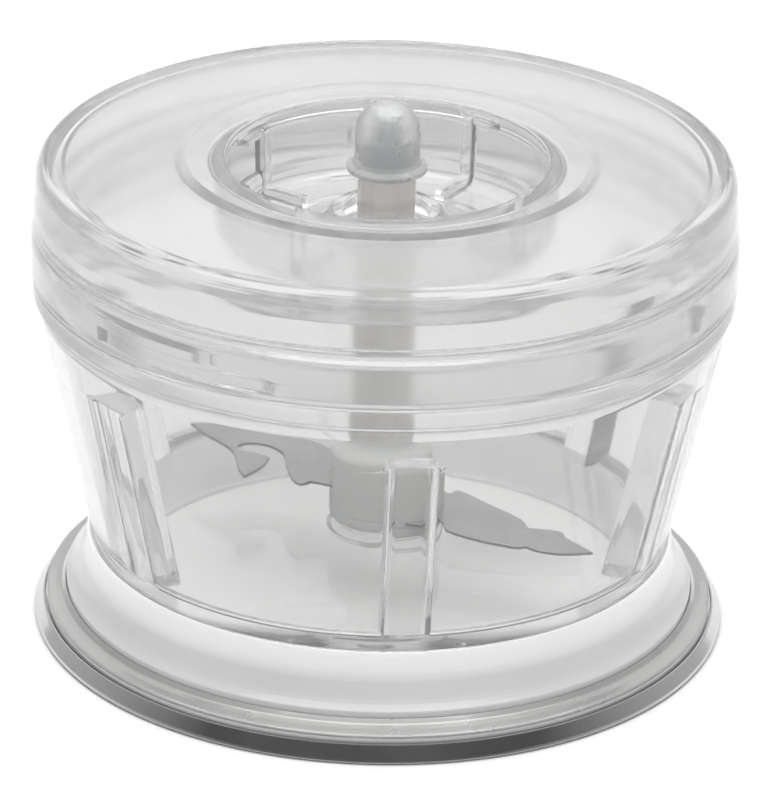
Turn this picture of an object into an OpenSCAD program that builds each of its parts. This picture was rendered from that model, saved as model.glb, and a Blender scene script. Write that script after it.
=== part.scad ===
// Chopper bowl attachment for a hand blender: a clear bowl with a lid that turns to lock, a motor
// well in the lid, a lift-out blade unit on a fixed pin, and a base ring that also closes the bowl.
// Millimetres, +Z up. The origin is the centre of the foot ring's underside.

/* [Base ring] */
// Outer diameter of the foot ring and of the lid
outer_d = 130; // [129:0.5:131]
// Height of the rubber foot ring
foot_h = 3.4; // [3.2:0.1:3.6]
// Height of the lip that centres the bowl
base_lip_z = 17.6; // [16.6:0.2:18.6]
// Radius where the flared skirt meets the trim ring
skirt_r = 58.8; // [58:0.2:59.6]

/* [Bowl] */
// Radius of the bowl's outer cone, carried down to the table
cone_r0 = 50.1; // [49.6:0.1:50.6]
// Outward lean of the bowl's wall, in millimetres of radius per millimetre of height
cone_slope = 0.216; // [0.21:0.002:0.22]
// Wall thickness of the bowl
bowl_wall = 2.6; // [2.2:0.1:3]
// Height of the bowl's inner floor
floor_z = 19.2; // [18.8:0.2:19.4]
// Number of inner ribs on the bowl's wall
rib_count = 6; // [3:1:8]
// Width of one inner rib
rib_w = 8.4; // [8:0.2:10]
// How far a rib stands in from the wall
rib_depth = 5.8; // [4:0.2:6.4]
// Height of the top of the ribs
rib_top_z = 56.5; // [40:0.5:58]
// Height of the collar that the lid stands on
collar_z = 69.2; // [69:0.1:69.4]

/* [Lid] */
// Height of the lid's flat top
lid_top_z = 90.8; // [90:0.2:91.2]
// Inner radius of the motor well
well_r = 29.6; // [28.5:0.1:30]
// Height of the motor well's floor
well_floor_z = 76.4; // [76:0.2:77]
// Radius of the hole that the drive spindle passes through
shaft_hole_r = 8; // [7.9:0.1:8.3]
// Angle the lid turns through to lock, in degrees
lock_turn = 25; // [20:1:28]

/* [Blade unit] */
// Direction of the upper blade, in degrees
blade_az = 153.7; // [0:0.1:360]
// Radius of the blade hub
hub_r = 9.5; // [9.4:0.1:10.2]
// Radius of the round spindle tube
tube_r = 5.6; // [5.5:0.05:5.8]
// Distance across the flats of the octagonal drive sleeve
sleeve_af = 10.5; // [10:0.1:11]
// Height of the top of the drive cap
cap_top_z = 102.4; // [101:0.2:103]
// Thickness of the blade steel
blade_t = 1; // [0.8:0.1:1]

/* [Hidden] */
$fn = 96;

outer_r = outer_d / 2;
gap = 0.3;            // free space between curved faces of parts that move past each other
fit_gap = 0.05;       // radial clearance of a running fit

// Base ring
foot_inner_r = 57.5;
flange_z = 2.8;
flange_top_z = 4.3;
foot_edge = 2.2;      // from the foot ring's outside in to the groove beside the trim ring
flange_r = outer_r - 2.6;
trim_outer_r = outer_r - 2.5;
trim_top_z = 6.5;
skirt_step = 1.2;     // upright step of the skirt above the trim ring
dish_floor_z = 3.8;
dish_floor_t = 1.8;
dish_wall = 1.8;
bowl_clear = 0.4;     // between the bowl's cone and the base dish

// Bowl
foot_z = dish_floor_z + 0.2;
floor_t = 2.4;
foot_wall = 2.3;
cone_top_z = 65.4;
collar_r = outer_r - 0.2;
neck_r = 61;
neck_wall = 2.2;
neck_top_z = 76;
floor_fillet_r = 5;     // the floor's round corner, across the floor
floor_fillet_h = 2.6;   // and up the wall
thrust_r = 8;           // shallow recess round the pin for the sleeve's collar
thrust_depth = 0.8;
rib_first_az = 35.6;
boss_r = 9.5;
boss_z = 15.4;

// Lock between lid and bowl
lug_count = 3;
lug_az = 247.5;
lug_half = 4;
lug_z = 70.3;
lug_top_z = 72.6;
ramp_z = 73.2;
ramp_top_z = 75.2;
ramp_lead = 7;
stop_margin = 1;
stop_width = 4.4;

// Pin, sleeve and hub
pin_r = 2.4;
pin_top_z = 43;
pin_sleeve_r = 4;
pin_sleeve_z = 18.6;
bush_r = 5;
bush_z = 20.1;
bush_top_z = 44.8;
cap_z = 19.9;
cap_top_edge_z = 22.4;
lower_blade_z = 22.6;
upper_blade_z = 26.2;
ring_r = 8;
shoulder_z = 34.2;
hub_top_z = 39.2;
tube_z = 31;
tube_top_z = 76;
sleeve_top_z = 88.6;
shaft_r = 3;
shaft_z = 45.2;
shaft_head_r = 3.5;
shaft_head_z = 95;
shaft_tip_r = 2.2;
shaft_tip_z = 99;
bend = 3.9;           // each blade arm's lean from level, in degrees
bend_s = 10.5;

// Drive cap
dome_r = 6;
dome_z = 96.2;
cap_flange_r = 7.5;
cap_flange_z = 88.8;

// Lid
lid_z = collar_z + gap;
skirt_in_r = 63;
shoulder_lid_z = 76.5;
lid_plate = 2.2;
seal_seat_z = 78.4;
seat_r = 61;
well_open_r = 33.4;
well_flange_r = 37.4;
well_recess = 1.1;
well_lip_z = lid_top_z + 0.5;
well_wall = 2.2;
well_plate = 2.2;
cone_foot_r = 22;
tower_z = 81.3;
tower_wall = 1.9;

function cone_r(z) = cone_r0 + cone_slope * z;

// Points of an arc about (cr, cz) in the radius-height plane, from angle a to angle b
function arc(cr, cz, rr, rz, a, b, n) =
    [for (i = [0 : n]) [cr + rr * cos(a + (b - a) * i / n), cz + rz * sin(a + (b - a) * i / n)]];

module turned(points) {
    rotate_extrude() polygon(points);
}

// Part of a ring between two azimuths, two radii and two heights
module sector(a0, a1, r0, r1, z0, z1) {
    rotate([0, 0, a0])
        rotate_extrude(angle = a1 - a0)
            translate([r0, z0])
                square([r1 - r0, z1 - z0]);
}

module tube(r0, r1, z0, z1) {
    turned([[r0, z0], [r1, z0], [r1, z1], [r0, z1]]);
}

// ---- Base ring ----

module base_dish() {
    inner_low = cone_r(dish_floor_z) + bowl_clear;
    inner_top = cone_r(base_lip_z) + bowl_clear;
    flare_end = 250;
    flare_r = (skirt_r - inner_top - 0.6) / (1 + cos(flare_end));
    flare_z = base_lip_z - 0.3;
    flare_h = (flare_z - trim_top_z - skirt_step) / -sin(flare_end);
    color([0.88, 0.89, 0.89, 0.45])
        turned(concat(
            [[0, dish_floor_z - dish_floor_t],
             [inner_low + dish_wall, dish_floor_z - dish_floor_t],
             [inner_top + 0.5, base_lip_z - 5.6],
             [skirt_r - dish_wall, flange_z + 3],
             [skirt_r - dish_wall, flange_z],
             [flange_r, flange_z],
             [flange_r, flange_top_z],
             [skirt_r, flange_top_z]],
            arc(inner_top + 0.6 + flare_r, flare_z, flare_r, flare_h, flare_end, 183, 8),
            [[inner_top, base_lip_z],
             [inner_low, dish_floor_z],
             [0, dish_floor_z]]));
}

module trim_ring() {
    color([0.62, 0.63, 0.63])
        turned([[skirt_r + 0.1, flange_top_z], [trim_outer_r, flange_top_z],
                [trim_outer_r, flange_top_z + 0.4], [skirt_r + 0.1, trim_top_z]]);
}

module foot_ring() {
    groove_r = outer_r - foot_edge;
    color([0.27, 0.28, 0.27])
        turned([[foot_inner_r, 0], [outer_r - 0.7, 0], [outer_r - 0.3, 0.5], [outer_r - 0.3, 1.1],
                [groove_r + 0.3, foot_h], [groove_r, foot_h], [groove_r, flange_z],
                [foot_inner_r, flange_z]]);
}

// ---- Bowl ----

// The wall, floor, neck and foot skirt in one turned section
module bowl_shell() {
    under_z = floor_z - floor_t;
    fillet_top_z = floor_z + floor_fillet_h;
    fillet_r = cone_r(fillet_top_z) - bowl_wall - floor_fillet_r;
    turned(concat(
        [[cone_r(foot_z) - foot_wall, foot_z],
         [cone_r(foot_z), foot_z],
         [cone_r(cone_top_z), cone_top_z],
         [collar_r, cone_top_z + 0.6],
         [collar_r, collar_z],
         [neck_r, collar_z],
         [neck_r, neck_top_z],
         [neck_r - neck_wall, neck_top_z],
         [neck_r - neck_wall, cone_top_z + 1.8],
         [cone_r(cone_top_z - 1.8) - bowl_wall, cone_top_z - 1.8]],
        arc(fillet_r, fillet_top_z, floor_fillet_r, floor_fillet_h, 0, -90, 6),
        [[thrust_r, floor_z],
         [thrust_r, floor_z - thrust_depth],
         [pin_r, floor_z - thrust_depth],
         [pin_r, boss_z + 1],
         [0, boss_z + 1],
         [0, boss_z],
         [boss_r, boss_z],
         [boss_r, under_z],
         [cone_r(under_z) - foot_wall, under_z]]));
}

// One flat-faced rib that leans with the wall, before it is cut to the bowl's inside
module raw_rib() {
    wall_r = cone_r(floor_z) - bowl_wall;
    half = rib_w / 2;
    below = 4;
    length = 60;
    translate([wall_r, 0, floor_z])
        rotate([0, atan(cone_slope), 0])
            translate([0, 0, -below])
                linear_extrude(length)
                    polygon([[3, -half], [3, half], [-rib_depth + 1.2, half],
                             [-rib_depth + 0.4, half - 0.4], [-rib_depth, half - 1.2],
                             [-rib_depth, 1.2 - half], [-rib_depth + 0.4, 0.4 - half],
                             [-rib_depth + 1.2, -half]]);
}

module bowl_ribs() {
    low_z = floor_z - floor_t / 2;
    intersection() {
        for (i = [0 : rib_count - 1])
            rotate([0, 0, rib_first_az + i * 360 / rib_count])
                raw_rib();
        turned([[0, low_z], [cone_r(low_z) - bowl_wall / 2, low_z],
                [cone_r(rib_top_z) - bowl_wall / 2, rib_top_z], [0, rib_top_z]]);
    }
}

// Ramps on the neck that the lid's lugs turn under, each with a stop that hangs from its end
module neck_ramps() {
    root_r = neck_r - 0.5;
    ramp_r = skirt_in_r - bowl_clear;
    stop_a = -lock_turn - lug_half - stop_margin;
    stop_end_a = stop_a - stop_width;
    for (i = [0 : lug_count - 1])
        rotate([0, 0, lug_az + i * 360 / lug_count]) {
            sector(stop_end_a - 0.8, -ramp_lead, root_r, ramp_r, ramp_z, ramp_top_z);
            sector(stop_end_a, stop_a, root_r, ramp_r - 0.3, collar_z - 0.2, ramp_z + 1);
        }
}

module bowl() {
    color([0.86, 0.88, 0.88, 0.4]) {
        bowl_shell();
        bowl_ribs();
        neck_ramps();
    }
}

module pivot_pin() {
    color([0.7, 0.7, 0.7])
        turned([[0, boss_z + 1], [pin_r, boss_z + 1], [pin_r, pin_top_z - 0.8],
                [pin_r - 0.8, pin_top_z], [0, pin_top_z]]);
}

// ---- Blade unit ----

// Nylon liner that stays still on the pin while the hub turns round it
module pivot_sleeve() {
    bore_r = pin_r + fit_gap;
    flange_top = bush_z - gap;
    color([0.92, 0.92, 0.9])
        turned([[bore_r, pin_sleeve_z], [bush_r + 1, pin_sleeve_z], [bush_r + 1, flange_top],
                [pin_sleeve_r, flange_top], [pin_sleeve_r, bush_top_z - 0.4],
                [0, bush_top_z - 0.4], [0, pin_top_z + gap], [bore_r, pin_top_z + gap]]);
}

module hub_bush() {
    color([0.85, 0.85, 0.82])
        tube(pin_sleeve_r + fit_gap, bush_r, bush_z, bush_top_z);
}

module hub_cap() {
    edge = 1.2;
    color([0.74, 0.75, 0.74])
        turned(concat(
            [[bush_r + fit_gap, cap_z]],
            arc(hub_r - edge, cap_z + edge, edge, edge, -90, 0, 6),
            [[hub_r, cap_top_edge_z],
             [ring_r, cap_top_edge_z],
             [ring_r, lower_blade_z],
             [bush_r + fit_gap, lower_blade_z]]));
}

module blade_spacer() {
    color([0.8, 0.8, 0.78])
        tube(bush_r + fit_gap, ring_r, lower_blade_z + blade_t, upper_blade_z);
}

// Outline of the upper arm: a smooth cutting edge on one side, a notch and a barb on the other.
// x runs along the arm from the spindle's axis, y across it.
module upper_outline() {
    polygon([[0, -6], [9, -6], [12.5, -6.4], [17, -7.3], [22.5, -7.5], [28, -6.4], [33.5, -4.6],
             [37, -3.1], [41, -0.3], [36.8, 1.9], [32.5, 3.3], [29.3, 4.8], [27, 7.3],
             [24.5, 10.7], [22, 13], [21.4, 10], [21.2, 6.5], [21.8, 3.4], [24.5, 3.5],
             [27.4, 3.9], [28.7, 3.4], [28.9, 2.2], [28.2, 0.6], [26.6, -0.6], [24.9, -1.1],
             [22.9, -0.9], [20.6, 0.3], [18.8, 2.7], [17.2, 5], [15.7, 6.9], [13.8, 8.9],
             [12.4, 9.4], [11.5, 9], [10.8, 7.2], [9, 7], [0, 7]]);
}

// Outline of the lower arm: a smooth cutting edge and a stepped back
module lower_outline() {
    polygon([[0, -5], [14, -5], [15.3, -5.9], [18.2, -6.5], [24.7, -6.2], [28.2, -5.5],
             [30.8, -4.8], [31.8, -3.6], [34, -3.8], [36.4, -3.3], [39.5, -1.7], [43, 1.4],
             [39.6, 2.7], [36.5, 3.9], [35.6, 5], [34.6, 5.4], [31.7, 4.4], [29.1, 3.3],
             [27.8, 4.8], [26.2, 5.9], [19.5, 7.7], [12.3, 9.6], [11.5, 9.2], [10.8, 7.3],
             [9, 7], [0, 7]]);
}

// A blade: a ring held in the hub and one arm that leans by a few degrees outside the hub.
// children() is the arm's outline, side is 1 for an arm that rises and -1 for one that falls.
module blade(side) {
    back_s = -ring_r - 1;
    tip_s = 50;
    tip_z = side * (tip_s - bend_s) * tan(bend);
    depth = 60;
    difference() {
        intersection() {
            translate([0, 0, -depth / 2])
                linear_extrude(depth)
                    union() {
                        circle(ring_r);
                        children();
                    }
            rotate([90, 0, 0])
                translate([0, 0, -depth / 2])
                    linear_extrude(depth)
                        polygon([[back_s, 0], [bend_s, 0], [tip_s, tip_z], [tip_s, tip_z + blade_t],
                                 [bend_s, blade_t], [back_s, blade_t]]);
        }
        translate([0, 0, -1])
            cylinder(r = bush_r + fit_gap, h = blade_t + 2);
    }
}

module upper_blade() {
    color([0.66, 0.66, 0.65])
        translate([0, 0, upper_blade_z])
            rotate([0, 0, blade_az])
                blade(1)
                    upper_outline();
}

module lower_blade() {
    color([0.66, 0.66, 0.65])
        translate([0, 0, lower_blade_z])
            rotate([0, 0, blade_az + 180])
                blade(-1)
                    lower_outline();
}

// The hub's moulded body, open below, with a window for each arm
module blade_hub() {
    slack = 0.1;
    roof_z = upper_blade_z + blade_t;
    color([0.76, 0.77, 0.76])
        difference() {
            turned(concat(
                [[ring_r, cap_top_edge_z], [hub_r, cap_top_edge_z], [hub_r, shoulder_z]],
                arc(hub_r, hub_top_z, hub_r - tube_r - 0.4, hub_top_z - shoulder_z - 0.8,
                    -90, -180, 6),
                [[tube_r, hub_top_z],
                 [tube_r, tube_z],
                 [bush_r, tube_z],
                 [bush_r, roof_z],
                 [ring_r, roof_z]]));
            rotate([0, 0, blade_az])
                translate([0, -7, upper_blade_z - slack])
                    cube([hub_r + 2, 14.1, blade_t + 2 * slack]);
            rotate([0, 0, blade_az + 180])
                translate([0, -5.6, cap_top_edge_z - 1])
                    cube([hub_r + 2, 12.7, lower_blade_z - cap_top_edge_z + 1 + blade_t + slack]);
        }
}

module spindle_tube() {
    color([0.64, 0.64, 0.63])
        turned([[bush_r, tube_z], [tube_r, tube_z], [tube_r, tube_top_z], [shaft_r, tube_top_z],
                [shaft_r, shaft_z], [bush_r, shaft_z]]);
}

module spindle_sleeve() {
    corner_r = sleeve_af / 2 / cos(22.5);
    color([0.7, 0.69, 0.67])
        difference() {
            translate([0, 0, tube_top_z])
                rotate([0, 0, 22.5])
                    cylinder(r = corner_r, h = sleeve_top_z - tube_top_z, $fn = 8);
            translate([0, 0, tube_top_z - 1])
                cylinder(r = shaft_r, h = sleeve_top_z - tube_top_z + 2);
        }
}

module drive_shaft() {
    color([0.6, 0.65, 0.68]) {
        translate([0, 0, shaft_z])
            cylinder(r = shaft_r, h = sleeve_top_z - shaft_z);
        translate([0, 0, sleeve_top_z])
            cylinder(r = shaft_head_r, h = shaft_head_z - sleeve_top_z, $fn = 6);
        translate([0, 0, shaft_head_z])
            cylinder(r = shaft_tip_r, h = shaft_tip_z - shaft_head_z);
    }
}

module drive_cap() {
    head_clear = shaft_head_r + fit_gap;
    tip_clear = shaft_tip_r + fit_gap;
    color([0.9, 0.91, 0.9, 0.7])
        turned(concat(
            [[head_clear, cap_flange_z],
             [cap_flange_r - 0.3, cap_flange_z],
             [cap_flange_r, cap_flange_z + 0.4],
             [cap_flange_r, cap_flange_z + 0.9],
             [dome_r + 0.4, cap_flange_z + 1.5],
             [dome_r, cap_flange_z + 2.2]],
            arc(0, dome_z, dome_r, cap_top_z - dome_z, 0, 90, 10),
            [[0, shaft_tip_z + fit_gap],
             [tip_clear, shaft_tip_z + fit_gap],
             [tip_clear, shaft_head_z + fit_gap],
             [head_clear, shaft_head_z + fit_gap]]));
}

// ---- Lid ----

module lid_seal() {
    color([0.93, 0.93, 0.92, 0.6])
        tube(neck_r - neck_wall + gap, skirt_in_r - gap, neck_top_z + gap, seal_seat_z - gap);
}

module lid_shell() {
    in_h = lid_top_z - lid_plate - shoulder_lid_z;
    recess_z = lid_top_z - well_recess;
    color([0.87, 0.88, 0.88, 0.4]) {
        turned(concat(
            [[skirt_in_r, lid_z],
             [outer_r, lid_z],
             [outer_r, shoulder_lid_z],
             [outer_r - 0.4, shoulder_lid_z + 4.5]],
            arc(outer_r - 3.6, lid_top_z - 3, 2.7, 3, 6, 90, 6),
            [[well_flange_r + 0.2, lid_top_z],
             [well_flange_r + 0.2, recess_z],
             [well_open_r, recess_z],
             [well_open_r, lid_top_z - lid_plate]],
            arc(outer_r - 6.4, shoulder_lid_z, 4, in_h, 90, 17, 7),
            [[seat_r, seal_seat_z + 1.4],
             [seat_r, seal_seat_z],
             [skirt_in_r, seal_seat_z]]));
        for (i = [0 : lug_count - 1])
            rotate([0, 0, lug_az + i * 360 / lug_count])
                sector(-lug_half, lug_half, neck_r + bowl_clear, skirt_in_r + 0.5,
                       lug_z, lug_top_z);
    }
}

// A bayonet rib in the motor well: up the wall and in along the floor, with a round inner corner
module hook_rib(az) {
    rib_t = 2;
    face_r = well_r - 2.2;
    corner = 5;
    foot_r = 18.5;
    rotate([90, 0, az])
        translate([0, 0, -rib_t / 2])
            linear_extrude(rib_t)
                polygon(concat(
                    [[well_r + 0.6, well_floor_z - 1],
                     [well_r + 0.6, lid_top_z - 0.8],
                     [face_r, lid_top_z - 0.8]],
                    arc(face_r - corner, well_floor_z + 2 + corner, corner, corner, 0, -90, 6),
                    [[foot_r, well_floor_z + 2.2],
                     [foot_r, well_floor_z]]));
}

// The two kinds of bayonet rib, each with its ledge, on one half of the well
module bayonet_half() {
    ledge_r = well_r - 2.2;
    wall_mid_r = well_r + 0.8;
    ledge_z = lid_top_z - 2.2;
    ledge_top_z = lid_top_z - 0.8;
    hook_rib(58);
    sector(46, 59, ledge_r, wall_mid_r, ledge_z, ledge_top_z);
    hook_rib(144);
    sector(143, 160, ledge_r, wall_mid_r, ledge_z, ledge_top_z);
    sector(143, 160, ledge_r, wall_mid_r, well_floor_z + 1, well_floor_z + 4.6);
}

module motor_well() {
    recess_z = lid_top_z - well_recess;
    corner = 3;
    draft = 0.4;
    in_r = well_r - draft;
    tower_r = shaft_hole_r + tower_wall;
    under_z = well_floor_z - well_plate;
    color([0.87, 0.88, 0.88, 0.4]) {
        turned(concat(
            [[shaft_hole_r, under_z - 0.4],
             [tower_r, under_z - 0.4],
             [tower_r, tower_z - 3.6],
             [cone_foot_r - 0.6, under_z]],
            arc(in_r + well_wall - corner - 1, under_z + corner + 1, corner + 1, corner + 1,
                -90, 0, 5),
            [[well_r + well_wall, recess_z],
             [well_flange_r, recess_z],
             [well_flange_r, well_lip_z - 0.3],
             [well_flange_r - 0.3, well_lip_z],
             [well_r + 0.8, well_lip_z],
             [well_r, well_lip_z - 0.8]],
            arc(in_r - corner, well_floor_z + corner, corner, corner, 0, -90, 5),
            [[cone_foot_r, well_floor_z],
             [tower_r + 0.3, tower_z - 1.1],
             [tower_r, tower_z],
             [shaft_hole_r, tower_z]]));
        for (half = [0, 180])
            rotate([0, 0, half])
                bayonet_half();
    }
}

base_dish();
trim_ring();
foot_ring();
bowl();
pivot_pin();
pivot_sleeve();
hub_bush();
hub_cap();
lower_blade();
blade_spacer();
upper_blade();
blade_hub();
spindle_tube();
spindle_sleeve();
drive_shaft();
drive_cap();
lid_seal();
lid_shell();
motor_well();
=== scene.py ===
"""Clear chopper bowl with its lid, motor well, blade unit and base ring, dressed around the CAD frame."""

import math

import bmesh
import bpy
from mathutils import Matrix, Vector


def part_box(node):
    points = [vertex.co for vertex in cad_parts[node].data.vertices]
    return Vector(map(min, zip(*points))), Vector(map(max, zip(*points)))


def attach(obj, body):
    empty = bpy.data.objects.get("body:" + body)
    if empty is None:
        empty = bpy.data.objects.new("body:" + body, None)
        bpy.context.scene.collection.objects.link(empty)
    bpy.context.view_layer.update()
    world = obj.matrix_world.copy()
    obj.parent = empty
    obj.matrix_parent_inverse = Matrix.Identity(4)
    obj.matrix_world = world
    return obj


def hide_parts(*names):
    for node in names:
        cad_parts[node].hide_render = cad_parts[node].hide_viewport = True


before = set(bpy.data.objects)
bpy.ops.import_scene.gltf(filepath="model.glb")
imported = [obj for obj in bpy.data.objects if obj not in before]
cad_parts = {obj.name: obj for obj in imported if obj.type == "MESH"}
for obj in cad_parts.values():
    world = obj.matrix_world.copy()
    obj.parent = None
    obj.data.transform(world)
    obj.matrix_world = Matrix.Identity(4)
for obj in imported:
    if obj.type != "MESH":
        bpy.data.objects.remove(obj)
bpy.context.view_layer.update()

MM = 0.001
COLUMNS = 240          # columns round a turned piece
FINE_COLUMNS = 128     # columns round the narrow pieces of the blade unit
ARC = 4                # segments in a rounded corner
SUPPORT = 0.35         # from a rounded corner to its support row
LONG_SIDE = 2          # a section's side that is longer than this gets support rows
SUPPORT_SHARE = 0.2    # a support row takes no more of its side than this
ROUND_SHARE = 0.48     # a corner's round takes no more of a side than this
TINY = 1e-6            # a length below this counts as nothing, and points this near become one
FIN_FOOT_R = 18.5      # radius where the ribs in the motor well end


def span(node):
    """A CAD node's lowest and highest corners, in millimetres."""
    low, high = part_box(node)
    return low / MM, high / MM


# ---- Driving sizes in millimetres, from the frame ----
lid_low, lid_high = span("lid_shell")
_, well_high = span("motor_well")
bowl_low, bowl_high = span("bowl")
base_low, base_high = span("base_dish")
trim_low, trim_high = span("trim_ring")
_, foot_high = span("foot_ring")
tube_low, tube_high = span("spindle_tube")
sleeve_low, sleeve_high = span("spindle_sleeve")
hub_low, hub_high = span("blade_hub")
hub_cap_low, hub_cap_high = span("hub_cap")
cap_low, cap_high = span("drive_cap")
shaft_low, _ = span("drive_shaft")
seal_low, seal_high = span("lid_seal")
pin_low, pin_high = span("pivot_pin")
_, bush_high = span("hub_bush")

# ---- Sizes in millimetres that the boxes don't show, as in the part's source ----
seal_over_neck = 1.7   # the seal's outside, beyond the neck's
skirt_r = 58.8         # outside of the base's flared skirt
cone_r0 = 50.1         # the bowl's outer cone, carried down to the table
cone_slope = 0.216
cone_top_z = 65.4
bowl_wall = 2.6
floor_z = 19.2
floor_t = 2.4
floor_fillet_r = 5
floor_fillet_h = 2.6
rib_count = 6
rib_first_az = 35.6
rib_w = 8.4
rib_depth = 5.8
rib_top_z = 56.5
neck_wall = 2.2
lug_count = 3
lug_az = 247.5
lug_z = 70.3
lug_top_z = 72.6
ramp_z = 73.2
ramp_top_z = 75.2
well_r = 29.6
well_floor_z = 76.4
shaft_hole_r = 8
blade_az = 153.7
upper_blade_z = 26.2
lower_blade_z = 22.6
ring_r = 8             # outside of the ring between the two blades

# ---- Sizes worked out from those ----
outer_r = lid_high.x
lid_z = lid_low.z
lid_top_z = lid_high.z
neck_r = seal_high.x - seal_over_neck
neck_top_z = bowl_high.z
foot_z = bowl_low.z
collar_r = outer_r - 0.2
collar_z = lid_z - 0.3
lug_spacing = 360 / lug_count


def cone_r(z):
    """Outer radius of the bowl's cone at a height."""
    return cone_r0 + cone_slope * z


def bowl_in_r(z):
    """Inner radius of the bowl's wall at a height, between the ribs."""
    return cone_r(z) - bowl_wall


# ---- Mesh tools ----

def long_sides(corners):
    """Which sides of a path are long enough to need support rows at both ends."""
    return [math.dist(a[:2], b[:2]) > LONG_SIDE for a, b in zip(corners, corners[1:])]


def rounded(corners, long=None):
    """Points along a path of (radius, height, fillet) corners, each corner rounded with ARC segments.
    A long side gets a support row near each end, which keeps its shading normals straight."""
    if long is None:
        long = long_sides(corners)
    points = []
    last = len(corners) - 1

    def support(point, toward, room):
        p = point + (toward - point).normalized() * min(SUPPORT, SUPPORT_SHARE * room)
        points.append((p.x, p.y))

    for i, (r, z, fillet) in enumerate(corners):
        here = Vector((r, z))
        if i in (0, last):
            points.append((r, z))
            continue
        back = Vector(corners[i - 1][:2]) - here
        ahead = Vector(corners[i + 1][:2]) - here
        if back.length < TINY or ahead.length < TINY:
            points += [(r, z)] * (ARC + 1 + long[i - 1] + long[i])
            continue
        half = back.angle(ahead) / 2
        cut = fillet / max(math.tan(half), TINY)
        cut = min(cut, ROUND_SHARE * back.length, ROUND_SHARE * ahead.length)
        start = here + back.normalized() * cut
        end = here + ahead.normalized() * cut
        if long[i - 1]:
            support(start, start + back, back.length - cut)
        for k in range(ARC + 1):
            t = k / ARC
            # a rational quadratic with this weight is a true circular arc
            weight = math.sin(half)
            a, b, c = (1 - t) ** 2, 2 * t * (1 - t) * weight, t ** 2
            p = (start * a + here * b + end * c) / (a + b + c)
            points.append((p.x, p.y))
        if long[i]:
            support(end, end + ahead, ahead.length - cut)
    return points


def arc(centre_r, centre_z, across, up, angles, fillet):
    """Corners along an arc of an upright ellipse, with the angles in degrees."""
    turns = [math.radians(a) for a in angles]
    return [(centre_r + across * math.cos(t), centre_z + up * math.sin(t), fillet) for t in turns]


def mesh_object(name, verts, faces, body, slot, replaces, sharp=40):
    """A closed smooth-shaded mesh from points in millimetres, which rides on a body."""
    mesh = bpy.data.meshes.new(name)
    mesh.from_pydata([Vector(v) * MM for v in verts], [], faces)
    work = bmesh.new()
    work.from_mesh(mesh)
    bmesh.ops.remove_doubles(work, verts=work.verts, dist=TINY)
    bmesh.ops.dissolve_degenerate(work, edges=work.edges, dist=TINY)
    if work.calc_volume(signed=True) < 0:
        bmesh.ops.reverse_faces(work, faces=work.faces)
    for face in work.faces:
        face.smooth = True
    work.to_mesh(mesh)
    work.free()
    mesh.set_sharp_from_angle(angle=math.radians(sharp))
    obj = bpy.data.objects.new(name, mesh)
    bpy.context.scene.collection.objects.link(obj)
    obj.data.materials.append(MATERIALS[slot])
    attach(obj, body)
    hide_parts(*replaces)
    return obj


def grid_faces(row_lengths, closed_path):
    """Quads between neighbouring rows of points. A row of one point is a pole."""
    starts = [0]
    for n in row_lengths:
        starts.append(starts[-1] + n)
    faces = []
    pairs = list(range(len(row_lengths) - 1))
    if closed_path:
        pairs.append(len(row_lengths) - 1)
    for i in pairs:
        j = (i + 1) % len(row_lengths)
        a, b = starts[i], starts[j]
        n = max(row_lengths[i], row_lengths[j])
        for k in range(n):
            m = (k + 1) % n
            if row_lengths[i] == 1 and row_lengths[j] == 1:
                continue
            if row_lengths[i] == 1:
                faces.append((a, b + m, b + k))
            elif row_lengths[j] == 1:
                faces.append((a + k, a + m, b))
            else:
                faces.append((a + k, a + m, b + m, b + k))
    return faces


def stacked(name, rows, body, slot, replaces, closed_path=False, sharp=40):
    """A mesh from rows of (x, y, z) points in millimetres, each row going once round the axis."""
    verts = [p for row in rows for p in row]
    faces = grid_faces([len(row) for row in rows], closed_path)
    return mesh_object(name, verts, faces, body, slot, replaces, sharp)


def ring(r, z, columns=COLUMNS):
    """One level circle of points, or a pole where the radius is nothing."""
    if r < TINY:
        return [(0, 0, z)]
    step = 2 * math.pi / columns
    return [(r * math.cos(i * step), r * math.sin(i * step), z) for i in range(columns)]


def from_middle(corners):
    """A closed section that starts and ends halfway along a side, so that every corner is rounded."""
    (r0, z0, _), (r1, z1, _) = corners[-1], corners[0]
    middle = ((r0 + r1) / 2, (z0 + z1) / 2, 0)
    return [middle] + corners + [middle]


def turned(name, corners, body, slot, replaces, columns=COLUMNS):
    """A turned solid. Its section's corners are (radius, height, fillet), in order round the section."""
    on_axis = corners[0][0] == 0 and corners[-1][0] == 0
    if on_axis:
        path = rounded(corners)
    else:
        path = rounded(from_middle(corners))[:-1]
    rows = [ring(r, z, columns) for r, z in path]
    return stacked(name, rows, body, slot, replaces, closed_path=not on_axis)


def turned_columns(name, columns, body, slot, replaces):
    """A turned solid whose section changes round the axis. Each column is (azimuth in degrees, sideways
    shift, corners), and all have the same number of corners. The shift fades out inside FIN_FOOT_R."""
    sections = [from_middle(corners) for _, _, corners in columns]
    long = long_sides(sections[0])
    paths = [rounded(path, long)[:-1] for path in sections]
    rows = [[] for _ in paths[0]]
    for (az, shift, _), path in zip(columns, paths):
        turn = Matrix.Rotation(math.radians(az), 3, "Z")
        for row, (r, z) in zip(rows, path):
            side = shift * min(1, r / FIN_FOOT_R)
            row.append(turn @ Vector((math.sqrt(max(r * r - side * side, 0)), side, z)))
    return stacked(name, rows, body, slot, replaces, closed_path=True)


def smooth_step(x):
    """Goes from 0 to 1 with level ends."""
    x = min(max(x, 0), 1)
    return x * x * (3 - 2 * x)


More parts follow.
